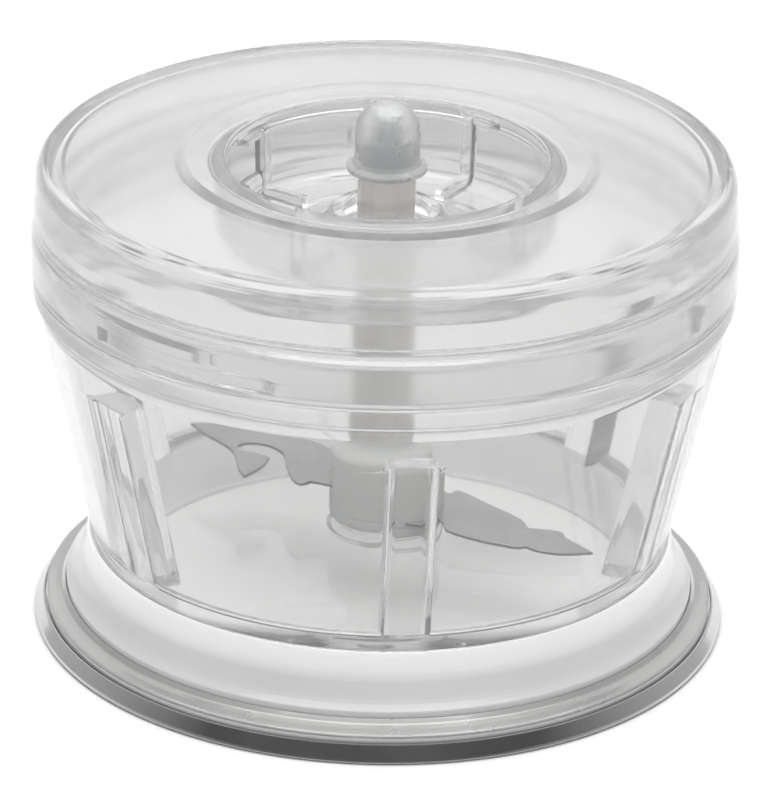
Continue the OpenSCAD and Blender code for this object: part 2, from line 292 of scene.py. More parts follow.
def window(az, start, end, edge=0.8):
    """1 between two azimuths and 0 outside them, with soft edges, all in degrees."""
    middle = (start + end) / 2
    off = abs((az - middle + 180) % 360 - 180)
    return 1 - smooth_step((off - (end - start) / 2 + edge / 2) / edge)


# ---- Materials ----

HAZE_Z = (0.062, 0.068)            # metres: the clear plastic grows hazier between these heights
DISH_PAINTED_LIGHT_R = (0.0545, 0.0558)   # metres: inside these radii the base dish is painted white as painted light that lifts its shade, outside them it is milky
SLEEVE_FOOT_Z = (0.0758, 0.0762)   # metres: the spindle grows brighter between these heights
WHITE_RADII = (1, 1, 1)            # light of every colour spreads equally far under the surface
DRAWN = (1, 1, 0.05)               # stretches a grain along the upright axis
BRUSHED = (1, 6, 1)                # packs a grain closer along Y


class Nodes:
    """A small helper that adds and joins shader nodes in one material."""

    def __init__(self, name):
        self.material = bpy.data.materials.new(name)
        self.material.use_nodes = True
        self.tree = self.material.node_tree
        self.shader = self.tree.nodes["Principled BSDF"]
        self.place = self.tree.nodes.new("ShaderNodeTexCoord").outputs["Object"]

    def set(self, **values):
        for key, value in values.items():
            self.shader.inputs[key.replace("_", " ")].default_value = value
        return self

    def noise(self, scale, detail=3, stretch=None):
        """Fine variation in object coordinates: about as many grains in a metre as the scale says."""
        coords = self.place
        if stretch:
            mapping = self.tree.nodes.new("ShaderNodeMapping")
            mapping.inputs["Scale"].default_value = stretch
            self.tree.links.new(coords, mapping.inputs["Vector"])
            coords = mapping.outputs["Vector"]
        node = self.tree.nodes.new("ShaderNodeTexNoise")
        node.inputs["Scale"].default_value = scale
        node.inputs["Detail"].default_value = detail
        self.tree.links.new(coords, node.inputs["Vector"])
        return node.outputs["Fac"]

    def ramp(self, factor, low, high, start=0.35, end=0.65):
        """A colour that goes from low to high while the factor goes from start to end."""
        node = self.tree.nodes.new("ShaderNodeValToRGB")
        node.color_ramp.elements[0].position = start
        node.color_ramp.elements[1].position = end
        node.color_ramp.elements[0].color = (*low, 1)
        node.color_ramp.elements[1].color = (*high, 1)
        self.tree.links.new(factor, node.inputs["Fac"])
        return node.outputs["Color"]

    def range(self, factor, low, high, start=0.3, end=0.7):
        """A value that goes from low to high while the factor goes from start to end."""
        node = self.tree.nodes.new("ShaderNodeMapRange")
        node.inputs["From Min"].default_value = start
        node.inputs["From Max"].default_value = end
        node.inputs["To Min"].default_value = low
        node.inputs["To Max"].default_value = high
        self.tree.links.new(factor, node.inputs["Value"])
        return node.outputs["Result"]

    def upright_painted_shade(self, face, edge):
        """The face's colour where the surface lies level, going over to a painted shade colour where it
        stands upright.
        """
        normal = self.tree.nodes.new("ShaderNodeNewGeometry").outputs["Normal"]
        split = self.tree.nodes.new("ShaderNodeSeparateXYZ")
        self.tree.links.new(normal, split.inputs["Vector"])
        size = self.tree.nodes.new("ShaderNodeMath")
        size.operation = "ABSOLUTE"
        self.tree.links.new(split.outputs["Z"], size.inputs[0])
        return self.mixed(self.range(size.outputs["Value"], 1, 0, start=0.5, end=0.85), face, edge)

    def mixed(self, factor, first, second):
        """One colour socket that goes over to a second, plain colour with a factor."""
        mix = self.tree.nodes.new("ShaderNodeMixRGB")
        self.tree.links.new(factor, mix.inputs["Fac"])
        self.tree.links.new(first, mix.inputs["Color1"])
        mix.inputs["Color2"].default_value = (*second, 1)
        return mix.outputs["Color"]

    def around(self, start, end, low, high):
        """A value that goes from low to high with the distance from the upright axis, in metres."""
        flat = self.tree.nodes.new("ShaderNodeMapping")
        flat.inputs["Scale"].default_value = (1, 1, 0)
        self.tree.links.new(self.place, flat.inputs["Vector"])
        length = self.tree.nodes.new("ShaderNodeVectorMath")
        length.operation = "LENGTH"
        self.tree.links.new(flat.outputs["Vector"], length.inputs[0])
        return self.range(length.outputs["Value"], low, high, start, end)

    def height(self, start, end, low=0, high=1):
        """A value that goes from low to high between two heights, in metres."""
        split = self.tree.nodes.new("ShaderNodeSeparateXYZ")
        self.tree.links.new(self.place, split.inputs["Vector"])
        return self.range(split.outputs["Z"], low, high, start, end)

    def added(self, first, second):
        """The sum of two values."""
        node = self.tree.nodes.new("ShaderNodeMath")
        self.tree.links.new(first, node.inputs[0])
        self.tree.links.new(second, node.inputs[1])
        return node.outputs["Value"]

    def colour(self, socket):
        self.tree.links.new(socket, self.shader.inputs["Base Color"])
        return self

    def rough(self, socket):
        self.tree.links.new(socket, self.shader.inputs["Roughness"])
        return self

    def bump(self, height, strength, distance):
        node = self.tree.nodes.new("ShaderNodeBump")
        node.inputs["Strength"].default_value = strength
        node.inputs["Distance"].default_value = distance
        self.tree.links.new(height, node.inputs["Height"])
        self.tree.links.new(node.outputs["Normal"], self.shader.inputs["Normal"])
        return self


def grey(v, warm=0.0):
    """A grey with a little more red and less blue by the share that warm says."""
    return (v * (1 + warm), v, v * (1 - warm))


def clear_plastic():
    """Clear moulding with a faint haze. The lid and the bowl's neck are a little less polished."""
    n = Nodes("clear_plastic").set(Transmission_Weight=0.93, IOR=1.53)
    n.colour(n.ramp(n.noise(scale=22, detail=2), grey(0.82, 0.002), grey(0.84, 0.002)))
    n.rough(n.added(n.range(n.noise(scale=160, detail=4), 0.02, 0.04), n.height(*HAZE_Z, low=0, high=0.07)))
    return n.bump(n.noise(scale=30, detail=1), strength=0.05, distance=0.0005).material


def base_plastic():
    """Pale moulding, milky in the skirt. Inside the dish it is painted white, painted light that lifts the
    shade there.
    """
    n = Nodes("base_plastic").set(IOR=1.5, Coat_Weight=0.6, Coat_Roughness=0.08)
    n.set(Subsurface_Weight=0.3, Subsurface_Scale=0.006, Subsurface_Radius=WHITE_RADII)
    milky = n.ramp(n.noise(scale=18, detail=3), grey(0.58, 0.004), grey(0.62, 0.004))
    # painted light: the dish's inside goes to near-white, which lifts the shade on its inner wall and floor
    n.colour(n.mixed(n.around(*DISH_PAINTED_LIGHT_R, low=1, high=0), milky, grey(0.97)))
    n.rough(n.range(n.noise(scale=90, detail=4), 0.3, 0.4))
    return n.bump(n.noise(scale=60, detail=2), strength=0.03, distance=0.0002).material


def trim_grey():
    """Grey lacquer with a glossy coat."""
    n = Nodes("trim_grey").set(Metallic=0.55, IOR=1.5, Coat_Weight=1.0, Coat_Roughness=0.03)
    n.colour(n.ramp(n.noise(scale=40, detail=3), grey(0.39, 0.012), grey(0.44, 0.012)))
    n.rough(n.range(n.noise(scale=120, detail=3), 0.26, 0.34))
    return n.bump(n.noise(scale=80, detail=2), strength=0.03, distance=0.0001).material


def dark_rubber():
    """Polished dark ring: nearly black seen straight on, a mirror at a glancing angle."""
    n = Nodes("dark_rubber").set(IOR=1.5)
    facing = n.tree.nodes.new("ShaderNodeLayerWeight")
    facing.inputs["Blend"].default_value = 0.5
    gloss = n.range(facing.outputs["Facing"], 0.0, 0.9, start=0.1, end=0.5)
    dark = n.ramp(n.noise(scale=60, detail=4), grey(0.045, 0.01), grey(0.06, 0.01))
    n.colour(n.mixed(gloss, dark, grey(0.68, 0.006)))
    n.tree.links.new(gloss, n.shader.inputs["Metallic"])
    n.rough(n.range(n.noise(scale=200, detail=3), 0.12, 0.2))
    return n.bump(n.noise(scale=300, detail=2), strength=0.03, distance=0.0001).material


def pin_steel():
    """Drawn steel, with its grain along the pin."""
    n = Nodes("pin_steel").set(Metallic=1.0)
    n.colour(n.ramp(n.noise(scale=300, detail=3, stretch=DRAWN), grey(0.55), grey(0.66)))
    n.rough(n.range(n.noise(scale=800, detail=2, stretch=DRAWN), 0.18, 0.32))
    fine = n.noise(scale=1500, detail=2, stretch=(1, 1, 0.04))
    return n.bump(fine, strength=0.08, distance=0.0001).material


def nylon():
    """Cream nylon of the bearings and the spacer."""
    n = Nodes("nylon").set(IOR=1.53, Subsurface_Weight=0.4, Subsurface_Scale=0.003)
    n.colour(n.ramp(n.noise(scale=70, detail=3), (0.80, 0.79, 0.74), (0.86, 0.85, 0.81)))
    n.rough(n.range(n.noise(scale=400, detail=3), 0.35, 0.5))
    return n.bump(n.noise(scale=700, detail=3), strength=0.08, distance=0.0001).material


def hub_plastic():
    """Light grey moulding, a little rough."""
    n = Nodes("hub_plastic").set(IOR=1.5, Subsurface_Weight=0.2, Subsurface_Scale=0.004)
    n.colour(n.ramp(n.noise(scale=50, detail=3), (0.50, 0.512, 0.495), (0.555, 0.565, 0.55)))
    n.rough(n.range(n.noise(scale=220, detail=4), 0.35, 0.5))
    return n.bump(n.noise(scale=900, detail=3), strength=0.1, distance=0.0001).material


def blade_steel():
    """Flat steel, with painted shade: the ground edges, where the surface stands upright, are coloured
    near-black.
    """
    n = Nodes("blade_steel").set(Metallic=0.85)
    brushed = n.ramp(n.noise(scale=120, detail=4), grey(0.37, 0.004), grey(0.42, 0.004))
    # painted shade: the upright faces of the ground edges go to a near-black colour
    n.colour(n.upright_painted_shade(brushed, grey(0.08)))
    n.rough(n.range(n.noise(scale=700, detail=3, stretch=BRUSHED), 0.26, 0.4))
    return n.bump(n.noise(scale=1400, detail=3, stretch=(1, 7, 1)), strength=0.08, distance=0.0001).material


def spindle_steel():
    """Satin steel, brighter on the sleeve in the well than on the tube below it."""
    n = Nodes("spindle_steel").set(Metallic=0.9)
    grain = n.noise(scale=160, detail=3, stretch=(1, 1, 0.06))
    drawn = n.ramp(grain, (0.47, 0.462, 0.45), (0.56, 0.548, 0.535))
    n.colour(n.mixed(n.height(*SLEEVE_FOOT_Z), drawn, (0.73, 0.715, 0.69)))
    n.rough(n.range(n.noise(scale=900, detail=3, stretch=DRAWN), 0.26, 0.42))
    fine = n.noise(scale=1600, detail=3, stretch=(1, 1, 0.04))
    return n.bump(fine, strength=0.12, distance=0.0001).material


def shaft_steel():
    """Bluish grey core, seen only through the cap."""
    n = Nodes("shaft_steel").set(Metallic=0.2)
    n.colour(n.ramp(n.noise(scale=200, detail=3), (0.30, 0.37, 0.43), (0.36, 0.43, 0.49)))
    n.rough(n.range(n.noise(scale=600, detail=3), 0.3, 0.45))
    return n.bump(n.noise(scale=1200, detail=2), strength=0.08, distance=0.0001).material


def cap_nylon():
    """Milky, half-clear nylon of the drive cap."""
    n = Nodes("cap_nylon").set(IOR=1.4, Transmission_Weight=0.66, Coat_Weight=0.4, Coat_Roughness=0.08)
    n.set(Subsurface_Weight=0.5, Subsurface_Scale=0.004, Subsurface_Radius=WHITE_RADII)
    n.colour(n.ramp(n.noise(scale=90, detail=2), (0.92, 0.935, 0.93), (0.95, 0.96, 0.955)))
    n.rough(n.range(n.noise(scale=200, detail=3), 0.24, 0.34))
    return n.bump(n.noise(scale=500, detail=3), strength=0.05, distance=0.0001).material


def clear_silicone():
    """Clear rubber of the lid's seal."""
    n = Nodes("clear_silicone").set(Transmission_Weight=0.95, IOR=1.41)
    n.colour(n.ramp(n.noise(scale=40, detail=2), grey(0.93), grey(0.96)))
    n.rough(n.range(n.noise(scale=200, detail=3), 0.08, 0.2))
    return n.bump(n.noise(scale=400, detail=2), strength=0.05, distance=0.0001).material


MATERIALS = {make.__name__: make() for make in (
    clear_plastic, base_plastic, trim_grey, dark_rubber, pin_steel, nylon, hub_plastic, blade_steel,
    spindle_steel, shaft_steel, cap_nylon, clear_silicone)}


def keep_node(node, slot):
    """A CAD node that stays as it is, with its real material."""
    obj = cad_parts[node]
    obj.data.materials.clear()
    obj.data.materials.append(MATERIALS[slot])


# ---- Base ring ----

def base_dish():
    """The dish that centres the bowl, with its skirt flaring down to the trim ring."""
    bowl_clear = 0.4
    dish_wall = 1.8
    lip_round = 0.6
    lip_drop = 0.3
    lip_z = base_high.z
    floor_top = foot_z - 0.2
    flange_z = foot_high.z - 0.6
    flange_r = base_high.x
    flange_top = trim_low.z
    skirt_top = trim_high.z + 1.2
    inner_low = cone_r(floor_top) + bowl_clear
    inner_top = cone_r(lip_z) + bowl_clear
    # the skirt's section is an arc of an ellipse, from the lip down to the step above the trim ring
    flare_start = 184
    flare_end = 250
    flare_r = (skirt_r - inner_top - lip_round) / (1 + math.cos(math.radians(flare_end)))
    flare_h = (lip_z - lip_drop - skirt_top) / -math.sin(math.radians(flare_end))
    flare = arc(inner_top + lip_round + flare_r, lip_z - lip_drop, flare_r, flare_h,
                range(flare_start, flare_end + 1, 6), 0.3)
    corners = [
        (0, base_low.z, 0),
        (inner_low + dish_wall, base_low.z, 1.2),
        (inner_top + 0.5, lip_z - 5.6, 2),
        (skirt_r - dish_wall, flange_z + 3, 1.5),
        (skirt_r - dish_wall, flange_z, 0.3),
        (flange_r, flange_z, 0.3),
        (flange_r, flange_top, 0.3),
        (skirt_r, flange_top, 0.1),
        (skirt_r, trim_high.z + 0.4, 0.1),
        *reversed(flare),
        (inner_top + 0.35, lip_z, 0.25),
        (inner_top, lip_z - 0.2, 0.3),
        (inner_low, floor_top, 1.2),
        (0, floor_top, 0)]
    turned("base_dish_visual", corners, "base", "base_plastic", ["base_dish"])


def trim_ring():
    """The grey ring on the base's flange, hollowed up to the skirt."""
    inner_r = skirt_r + 0.1
    outer = trim_high.x
    low, high = trim_low.z + 0.02, trim_high.z
    corners = [
        (inner_r, low, 0.1),
        (outer - 0.1, low, 0.1),
        (outer, low + 0.4, 0.2),
        (outer - 0.5, low + 0.62, 0.25),
        (inner_r + 1.9, low + 0.9, 1.0),
        (inner_r + 0.8, low + 1.35, 0.9),
        (inner_r + 0.15, high, 0.1),
        (inner_r, high, 0.05)]
    turned("trim_ring_visual", corners, "base", "trim_grey", ["trim_ring"])


def foot_ring():
    """The rubber ring under the base, bulging at the table and sloping in to a groove."""
    inner_r = 57.5
    high = foot_high.z
    outer = foot_high.x
    groove_r = outer_r - 2.2
    groove_z = high - 0.6
    corners = [
        (inner_r, 0, 0.4),
        (outer - 0.4, 0, 0.3),
        (outer, 0.55, 0.4),
        (outer - 0.1, 1.15, 0.5),
        (groove_r + 0.35, high - 0.1, 0.3),
        (groove_r + 0.1, high, 0.12),
        (groove_r, high - 0.15, 0.1),
        (groove_r, groove_z, 0.05),
        (inner_r, groove_z, 0.2)]
    turned("foot_ring_visual", corners, "base", "dark_rubber", ["foot_ring"])


# ---- Bowl ----

# points along the wall, in the corner round, round the shoulder, and on to the middle of the rib
RIB_STEPS = (14, 3, 6, 5)
RIB_HALF_AZ = 6.2      # half the azimuth that a rib takes, with its corner rounds, in degrees
RIB_FILLET = 0.25      # radius of the round between the wall and a rib's side
RIB_SHOULDER = 1.5     # radius of a rib's two rounded edges


def rib_angles():
    """Azimuths in radians for a plain circle with as many points as the ribbed outline has."""
    wall_steps = RIB_STEPS[0]
    rest = sum(RIB_STEPS[1:])
    half_sector = 180 / rib_count
    half = [half_sector + (RIB_HALF_AZ - half_sector) * i / wall_steps for i in range(wall_steps)]
    half += [RIB_HALF_AZ * (1 - i / rest) for i in range(rest + 1)]
    whole = half + [-a for a in reversed(half[1:-1])]
    return [math.radians(rib_first_az + i * 360 / rib_count + a)
            for i in range(rib_count) for a in reversed(whole)]


def rib_outline(wall_r, face_x):
    """Level outline of the bowl's inside as (x, y), with a flat-faced rib in each sector."""
    wall_steps, fillet_steps, shoulder_steps, face_steps = RIB_STEPS
    half_sector = math.pi / rib_count
    half_w = rib_w / 2
    # centre of the round between the wall and the rib's side
    cy = half_w + RIB_FILLET
    cx = math.sqrt((wall_r - RIB_FILLET) ** 2 - cy ** 2)
    wall_a = math.atan2(cy, cx)
    side_a = -math.pi / 2

    half = []
    for i in range(wall_steps):
        t = half_sector + (wall_a - half_sector) * i / wall_steps
        half.append((wall_r * math.cos(t), wall_r * math.sin(t)))
    for i in range(fillet_steps):
        t = wall_a + (side_a - wall_a) * i / fillet_steps
        half.append((cx + RIB_FILLET * math.cos(t), cy + RIB_FILLET * math.sin(t)))
    for i in range(shoulder_steps):
        t = math.pi / 2 * i / shoulder_steps
        half.append((face_x + RIB_SHOULDER * (1 - math.sin(t)), half_w - RIB_SHOULDER * (1 - math.cos(t))))
    for i in range(face_steps + 1):
        half.append((face_x, (half_w - RIB_SHOULDER) * (1 - i / face_steps)))

    whole = half + [(x, -y) for x, y in reversed(half[1:-1])]
    points = []
    for i in range(rib_count):
        turn = math.radians(rib_first_az + i * 360 / rib_count)
        c, s = math.cos(turn), math.sin(turn)
        # sectors run clockwise inside, so they are taken in reverse to go round anticlockwise
        points += [(x * c - y * s, x * s + y * c) for x, y in reversed(whole)]
    return points


def level(outline, z):
    """A flat outline as a row of points at a height."""
    return [(x, y, z) for x, y in outline]


def ribbed(z, inset=0.0):
    """The bowl's ribbed inside at a height, with the wall but not the ribs set in by the inset."""
    return level(rib_outline(bowl_in_r(z) - inset, bowl_in_r(z) - rib_depth), z)


def bowl_circle(r, z, bulge=None):
    """A level circle with as many points as the ribbed outline has. The bulge adds to its radius."""
    if r < TINY:
        return [(0, 0, z)]
    angles = rib_angles()
    radii = [r + (bulge(math.degrees(a)) if bulge else 0) for a in angles]
    return [(q * math.cos(a), q * math.sin(a), z) for q, a in zip(radii, angles)]


def bowl_outside():
    """Rows from the boss under the floor, over the foot and the cone, to the neck's root."""
    under_z = floor_z - floor_t
    boss_r = 9.5
    boss_z = 15.4
    foot_wall = 2.3
    corners = [
        (0, boss_z, 0),
        (boss_r, boss_z, 0.5),
        (boss_r, under_z, 0.6),
        (cone_r(under_z) - foot_wall, under_z, 0.6),
        (cone_r(foot_z) - foot_wall, foot_z, 0.5),
        (cone_r(foot_z), foot_z, 0.8),
        (cone_r(cone_top_z), cone_top_z, 0.8),
        (collar_r, cone_top_z + 0.6, 0.6),
        (collar_r, collar_z, 0.35),
        (neck_r, collar_z, 0.3),
        (neck_r, collar_z + 0.4, 0)]
    return [bowl_circle(r, z) for r, z in rounded(corners)]


def bowl_lock():
    """Rows up the neck, with the ramps that hold the lid's lugs and the stops below them."""
    ramp_r = 62.6
    ramp_out = ramp_r - neck_r
    stop_out = ramp_out - 0.3
    ramp_az = (lug_az - 35, lug_az - 7)
    ramp_edge = 3
    stop_az = (lug_az - 34.4, lug_az - 30)

    def ramp(az):
        return ramp_out * max(window(az - k * lug_spacing, *ramp_az, ramp_edge) for k in range(lug_count))

    def stop(az):
        return stop_out * max(window(az - k * lug_spacing, *stop_az) for k in range(lug_count))

    levels = ((lug_z - 0.1, stop), (ramp_z - 0.3, stop), (ramp_z, ramp), (ramp_top_z - 0.2, ramp),
              (ramp_top_z, None))
    return [bowl_circle(neck_r, z, bulge) for z, bulge in levels]


def bowl_neck():
    """Rows over the neck's top and down its inside to the wall above the ribs."""
    neck_in_r = neck_r - neck_wall
    below_neck_z = cone_top_z - 1.8
    above_ribs_z = rib_top_z + 3
    corners = [
        (neck_r, ramp_top_z + 0.1, 0),
        (neck_r, neck_top_z, 0.35),
        (neck_in_r, neck_top_z, 0.35),
        (neck_in_r, cone_top_z + 1.8, 1.5),
        (bowl_in_r(below_neck_z), below_neck_z, 2.5),
        (bowl_in_r(above_ribs_z), above_ribs_z, 0)]
    return [bowl_circle(r, z) for r, z in rounded(corners)]


def bowl_rib_tops(edge_z):
    """Rows from the wall across the ribs' flat tops to their rounded edge."""
    beside_rib = 0.4       # a rib's outline is farther in than this from the wall

    def top_point(wall, rib, share, drop):
        """A point between the wall and a rib's top edge: level over a rib, down the cone beside it."""
        p = wall.lerp(rib, share)
        if wall.xy.length - rib.xy.length > beside_rib:
            return p.x, p.y, rib_top_z - drop
        return p.x, p.y, p.z

    wall_row = [Vector(p) for p in bowl_circle(bowl_in_r(rib_top_z), rib_top_z)]
    rib_row = [Vector(p) for p in ribbed(edge_z)]
    rows = [bowl_circle(bowl_in_r(rib_top_z + 0.4), rib_top_z + 0.4)]
    for share, drop in ((0.3, 0.0), (0.7, 0.0), (0.9, 0.05), (0.97, 0.2)):
        rows.append([top_point(wall, rib, share, drop) for wall, rib in zip(wall_row, rib_row)])
    return rows


def bowl_inside():
    """Rows down the ribbed wall, round the corner and over the floor to the recess round the pin."""
    edge_z = rib_top_z - 0.6
    fillet_top_z = floor_z + floor_fillet_h
    fillet_r = bowl_in_r(fillet_top_z) - floor_fillet_r
    fillet_steps = 8
    rows = bowl_rib_tops(edge_z)
    for share in (0, 0.01, 0.25, 0.5, 0.75, 0.99, 1):
        rows.append(ribbed(edge_z + (fillet_top_z - edge_z) * share))
    for i in range(1, fillet_steps + 1):
        a = math.pi / 2 * i / fillet_steps
        z = fillet_top_z - floor_fillet_h * math.sin(a)
        rows.append(ribbed(z, bowl_in_r(z) - (fillet_r + floor_fillet_r * math.cos(a))))
    floor_edge = ribbed(floor_z, bowl_in_r(floor_z) - fillet_r)
    for share in (0.99, 0.93, 0.8, 0.6, 0.4, 0.2):
        rows.append([(x * share, y * share, z) for x, y, z in floor_edge])

    recess_r = 8
    recess_z = floor_z - 0.8
    pin_r = pin_high.x
    for r, z in ((recess_r + 0.3, floor_z), (recess_r + 0.05, floor_z), (recess_r, floor_z - 0.05),
                 (recess_r, recess_z + 0.2), (recess_r - 0.2, recess_z), (recess_r - 0.5, recess_z),
                 (pin_r + 0.3, recess_z), (pin_r, recess_z), (pin_r, pin_low.z), (0, pin_low.z)):
        rows.append(bowl_circle(r, z))
    return rows


def bowl():
    """The clear bowl, closed round the pin's root."""
    rows = bowl_outside() + bowl_lock() + bowl_neck() + bowl_inside()
    return stacked("bowl_visual", rows, "bowl_body", "clear_plastic", ["bowl"])


# ---- Lid ----

def lid_seal():
    """The clear ring between the bowl's neck and the lid."""
    inner_r = neck_r - 1.9
    corners = [
        (inner_r, seal_low.z, 0.4),
        (seal_high.x, seal_low.z, 0.4),
        (seal_high.x, seal_high.z, 0.5),
        (inner_r, seal_high.z, 0.5)]
    return turned("lid_seal_visual", corners, "seal", "clear_silicone", ["lid_seal"])


HOOK_AZ = (58, 144, 238, 324)      # where the thin ribs in the motor well stand, in degrees
HOOK_T = 2.0                       # their thickness
HOOK_CLEAR = 4.2                   # degrees beside a thin rib that have no ordinary column
# columns across a thin rib: (sideways place in half thicknesses, how much of the rib there is)
HOOK_COLUMNS = ((-1.25, 0), (-1.0, 0.1), (-1.0, 0.9), (-0.7, 1), (0, 1), (0.7, 1), (1.0, 0.9), (1.0, 0.1),
                (1.25, 0))
LEDGE_AZ = (46, 58)                # the well's narrow ledges, each repeated on the far side
BLOCK_AZ = (144, 160)              # and its ledges with a block below


def either_side(az, start_end):
    """1 inside a stretch of azimuth or the stretch opposite to it, and 0 elsewhere."""
    return max(window(az - turn, *start_end) for turn in (0, 180))


def lid_section(az, hook):
    """The lid's section at an azimuth. Hook goes from 0 beside a thin rib of the well to 1 in it."""
    shoulder_z = 76.5
    skirt_in_r = 63
    seat_r = 61
    seat_z = seal_high.z + 0.3
    plate_t = 2.2
    plate_z = lid_top_z - plate_t
    draft = 0.25
    in_r = well_r - 0.4
    under_z = well_floor_z - plate_t
    lip_z = well_high.z
    flange_r = well_high.x
    ledge_z = lid_top_z - 0.8
    ledge_low_z = ledge_z - 1.4
    block_z = well_floor_z + 4.6
    hole_low_z = under_z - 0.4
    tower_r = shaft_hole_r + 1.9
    tower_z = 81.3
    tower_foot_r = 21.4
    rib_reach = 2.2
    lug_reach = 1.6
    lug_half_az = 4.5
    lug_edge = 3.5

    lug = lug_reach * max(window(az - k * lug_spacing, lug_az - lug_half_az, lug_az + lug_half_az, lug_edge)
                          for k in range(lug_count))
    block = either_side(az, BLOCK_AZ)
    ledge = max(either_side(az, LEDGE_AZ), block)
    ledge_in = max(rib_reach * ledge, rib_reach * hook)
    block_in = max(rib_reach * block, rib_reach * hook)
    wall_in = rib_reach * hook
    outer_arc = arc(outer_r - 3.6, lid_top_z - 3, 2.7, 3, range(6, 91, 12), 0.3)
    inner_arc = arc(outer_r - 6.4, shoulder_z, 4, plate_z - shoulder_z, (90, 78, 66, 54, 42, 30, 17), 0.4)
    return [
        (skirt_in_r, lid_z, 0.3),
        (outer_r, lid_z, 0.5),
        (outer_r, shoulder_z, 1.5),
        (outer_r - 0.4, shoulder_z + 4.5, 1.5),
        *outer_arc,
        (flange_r + 1.6, lid_top_z, 1.2),
        (flange_r - 0.6, lip_z, 1.2),
        (well_r, lip_z, 0.9),
        (well_r, ledge_z, 0.2),
        (well_r - ledge_in, ledge_z - 0.02, 0.6),
        (well_r - ledge_in, ledge_low_z, 0.3),
        (well_r - wall_in, ledge_low_z - 0.02, 0.3),
        (well_r - draft - wall_in, block_z, 0.3),
        (well_r - draft - block_in, block_z - 0.02, 0.5),
        (well_r - draft - 0.1 - block_in, block_z - 1 - 2.4 * (1 - hook) * block, 0.3),
        (in_r - wall_in + 0.4 * hook, well_floor_z + 2.0 * hook, 3 + 2 * hook),
        (FIN_FOOT_R + 3 * (1 - hook), well_floor_z + 2.2 * hook, 0.4),
        (FIN_FOOT_R, well_floor_z, 0.3),
        (FIN_FOOT_R - 0.3, well_floor_z, 0.3),
        (tower_r + 2.3, tower_z - 3.0, 2.0),
        (tower_r, tower_z, 0.4),
        (shaft_hole_r, tower_z, 0.4),
        (shaft_hole_r, hole_low_z, 0.3),
        (tower_r, hole_low_z, 0.3),
        (tower_r, tower_z - 3.6, 1.0),
        (tower_foot_r, under_z, 1.5),
        (in_r + plate_t, under_z, 4),
        (well_r + plate_t, plate_z, 1.2),
        *inner_arc,
        (seat_r, seat_z + 1.4, 0.5),
        (seat_r, seat_z, 0.2),
        (skirt_in_r, seat_z, 0.3),
        (skirt_in_r, lug_top_z + 0.1, 0.1),
        (skirt_in_r - lug, lug_top_z, 0.3),
        (skirt_in_r - lug, lug_z, 0.3),
        (skirt_in_r, lug_z - 0.1, 0.1)]


def lid():
    """The lid's shell and its motor well: one clear moulding with no seam between them."""
    columns = []
    for i in range(COLUMNS):
        az = 360 * i / COLUMNS
        near = min(abs((az - h + 180) % 360 - 180) for h in HOOK_AZ)
        if near > HOOK_CLEAR:
            columns.append((az, 0, 0))
    for h in HOOK_AZ:
        columns += [(h, side * HOOK_T / 2, hook) for side, hook in HOOK_COLUMNS]
    # columns at one azimuth go in the order of their sideways shift
    columns.sort(key=lambda column: (column[0], column[1]))
    columns = [(az, shift, lid_section(az, hook)) for az, shift, hook in columns]
    return turned_columns("lid_visual", columns, "lid", "clear_plastic", ["lid_shell", "motor_well"])


# ---- Blade unit ----

# outlines of the arms, with the root on the axis and the tip along X
UPPER_ARM = [(0, -6), (9, -6), (12.5, -6.4), (17, -7.3), (22.5, -7.5), (28, -6.4), (33.5, -4.6),
             (37, -3.1), (41, -0.3), (36.8, 1.9), (32.5, 3.3), (29.3, 4.8), (27, 7.3), (24.5, 10.7),
             (22, 13), (21.4, 10), (21.2, 6.5), (21.8, 3.4), (24.5, 3.5), (27.4, 3.9), (28.7, 3.4),
             (28.9, 2.2), (28.2, 0.6), (26.6, -0.6), (24.9, -1.1), (22.9, -0.9), (20.6, 0.3), (18.8, 2.7),
             (17.2, 5), (15.7, 6.9), (13.8, 8.9), (12.4, 9.4), (11.5, 9), (10.8, 7.2), (9, 7), (0, 7)]
LOWER_ARM = [(0, -5), (14, -5), (15.3, -5.9), (18.2, -6.5), (24.7, -6.2), (28.2, -5.5), (30.8, -4.8),
             (31.8, -3.6), (34, -3.8), (36.4, -3.3), (39.5, -1.7), (43, 1.4), (39.6, 2.7), (36.5, 3.9),
             (35.6, 5), (34.6, 5.4), (31.7, 4.4), (29.1, 3.3), (27.8, 4.8), (26.2, 5.9), (19.5, 7.7),
             (12.3, 9.6), (11.5, 9.2), (10.8, 7.3), (9, 7), (0, 7)]
BEND_START = 10.5      # distance from the axis where an arm begins to lean
BEND_SLOPE = math.tan(math.radians(3.9))
BLADE_T = 1.0
CHAMFER_TOP = 0.42     # height in the steel where the chamfer below begins
CHAMFER_IN = 0.7       # how far it goes in from the edge


def flowing(outline, steps=4, corner=50):
    """An outline with its gentle stretches curved through their points and its sharp corners kept."""
    n = len(outline)
    points = [Vector(p) for p in outline]

    def turn(i):
        a, b = points[i] - points[i - 1], points[(i + 1) % n] - points[i]
        return math.degrees(a.angle(b))

    smooth = []
    for i in range(n):
        p1, p2 = points[i], points[(i + 1) % n]
        chord = (p2 - p1).length
        t1 = (p2 - p1) if turn(i) > corner else (p2 - points[i - 1]).normalized() * chord
        t2 = (p2 - p1) if turn((i + 1) % n) > corner else (points[(i + 2) % n] - p1).normalized() * chord
        for k in range(steps):
            t = k / steps
            a, b = 2 * t ** 3 - 3 * t ** 2 + 1, t ** 3 - 2 * t ** 2 + t
            c, d = 3 * t ** 2 - 2 * t ** 3, t ** 3 - t ** 2
            smooth.append(p1 * a + t1 * b + p2 * c + t2 * d)
    return smooth


